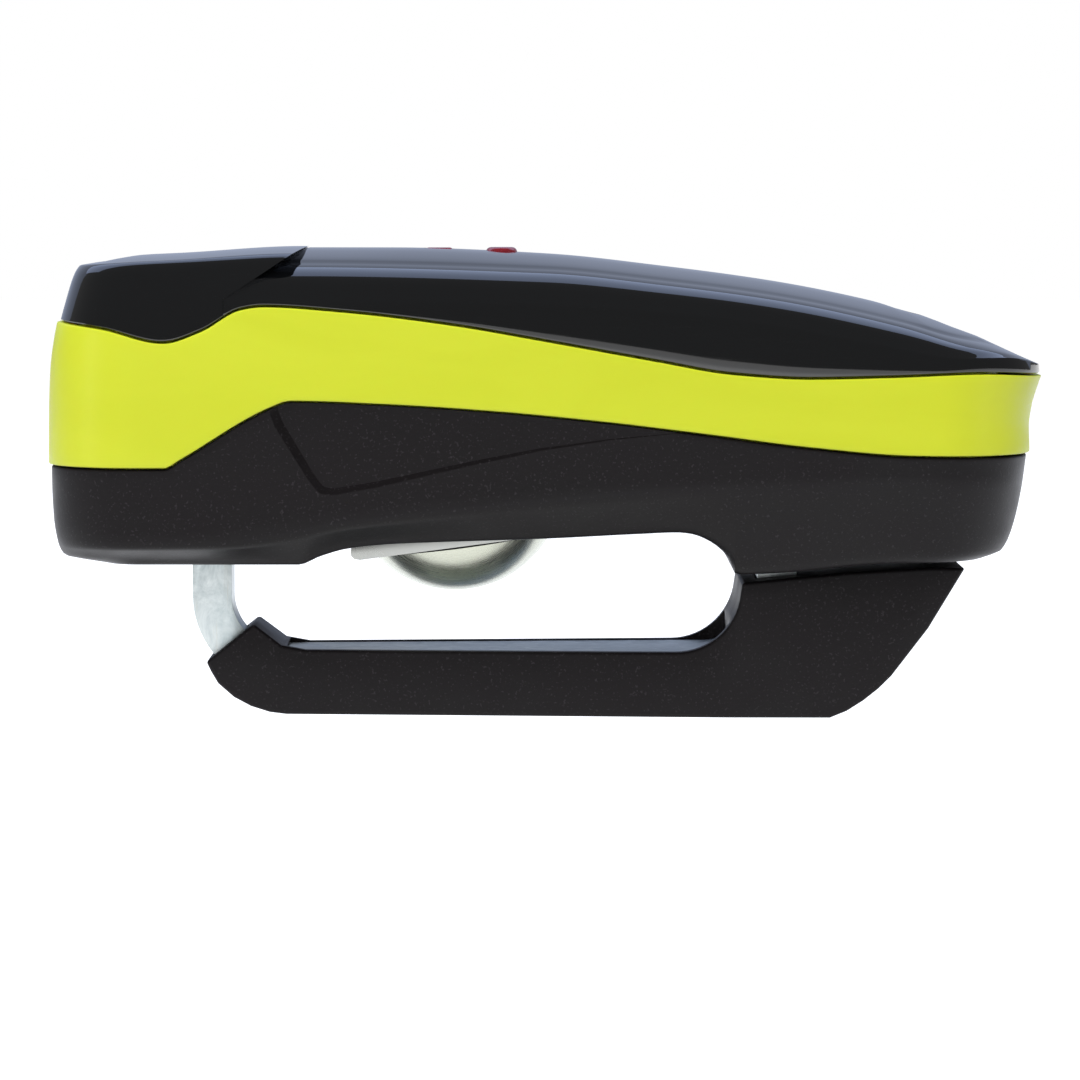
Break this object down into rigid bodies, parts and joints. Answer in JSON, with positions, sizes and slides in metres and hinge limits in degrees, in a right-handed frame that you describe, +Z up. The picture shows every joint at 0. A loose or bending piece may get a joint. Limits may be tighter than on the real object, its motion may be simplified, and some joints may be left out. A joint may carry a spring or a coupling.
{
  "type": "disc brake lock",
  "caption": "Motorcycle disc brake lock with a sliding U-shaped shackle, a moulded jaw, a glossy body with a coloured band, a domed trigger and a flat key.",
  "frame": {"origin": "centre of the jaw cover's flat sole, on the plane that the lock stands on", "axes": "+Z up from the sole to the glossy shell; +X along the lock from the nose (front leg) to the tail; +Y from the plain side to the keyed side"},
  "size_m": [0.1306, 0.0779, 0.062],
  "materials": {
    "black_nylon": "fine-grained moulded black nylon",
    "gloss_black": "high-gloss black ABS",
    "lime_band": "satin lime yellow ABS",
    "zinc_steel": "zinc-plated hardened steel",
    "polished_steel": "polished steel",
    "nickel_silver": "cast nickel silver",
    "plug_nickel": "nickel-plated brass",
    "brass": "turned brass",
    "dark_steel": "blackened steel",
    "rubber": "soft black rubber",
    "grey_acetal": "natural grey acetal",
    "board_green": "green solder mask",
    "cell_jacket": "plain cell jacket",
    "chip_black": "moulded component black",
    "red_lens": "tinted red lens"
  },
  "bodies": {
    "housing": {"lower_housing": "black_nylon", "side_band": "lime_band", "top_shell": "gloss_black", "nose_cap": "gloss_black", "cylinder_body": "brass", "housing_screw_1": "dark_steel", "housing_screw_2": "dark_steel", "housing_screw_3": "dark_steel", "housing_screw_4": "dark_steel", "trigger_pin": "dark_steel", "trigger_spring": "dark_steel", "switch_bracket": "grey_acetal", "arming_switch": "chip_black", "cylinder_clip": "dark_steel", "bolt_guide": "grey_acetal", "front_leg_bush": "grey_acetal", "front_leg_seal": "rubber", "rear_leg_guide": "grey_acetal", "rear_leg_seal": "rubber", "retaining_pin": "dark_steel", "battery_near": "cell_jacket", "battery_far": "cell_jacket", "battery_tray": "grey_acetal", "battery_contacts": "brass", "battery_bus": "brass", "circuit_board": "board_green", "siren": "chip_black", "motion_sensor": "chip_black", "alarm_chip": "chip_black", "led_lens": "red_lens", "status_window": "red_lens"},
    "shackle": {"shackle": "zinc_steel", "jaw_cover": "black_nylon", "jaw_screw_1": "dark_steel", "jaw_screw_2": "dark_steel"},
    "plug": {"cylinder_plug": "plug_nickel", "cam_disc": "dark_steel"},
    "key": {"key": "nickel_silver"},
    "bolt": {"locking_bolt": "dark_steel"},
    "trigger": {"trigger_plate": "polished_steel", "sensor_dome": "polished_steel"},
    "plunger": {"switch_plunger": "grey_acetal"}
  },
  "joints": [
    {"name": "shackle_slide", "type": "slide", "parent": "housing", "child": "shackle", "axis": [0, 0, -1], "range_m": [0, 0.02]},
    {"name": "plug_turn", "type": "hinge", "parent": "housing", "child": "plug", "pos_m": [-0.0315, 0, 0.033], "axis": [0, 1, 0], "range_deg": [0, 90]},
    {"name": "key_withdraw", "type": "slide", "parent": "plug", "child": "key", "axis": [0, 1, 0], "range_m": [0, 0.03]},
    {"name": "bolt_slide", "type": "slide", "parent": "housing", "child": "bolt", "axis": [-1, 0, 0], "range_m": [0, 0.0025]},
    {"name": "trigger_tilt", "type": "hinge", "parent": "housing", "child": "trigger", "pos_m": [0.007, 0, 0.027], "axis": [0, 1, 0], "range_deg": [0, 4], "stiffness_Nm_per_rad": 0.05, "springref_deg": -28.65, "deforming": ["trigger_spring"]},
    {"name": "switch_plunger_slide", "type": "slide", "parent": "housing", "child": "plunger", "axis": [0, 0, 1], "range_m": [0, 0.0008]}
  ],
  "couplings": [
    {"joint": "bolt_slide", "follows": "plug_turn", "m_per_rad": 0.00159},
    {"joint": "switch_plunger_slide", "follows": "trigger_tilt", "m_per_rad": 0.01}
  ]
}
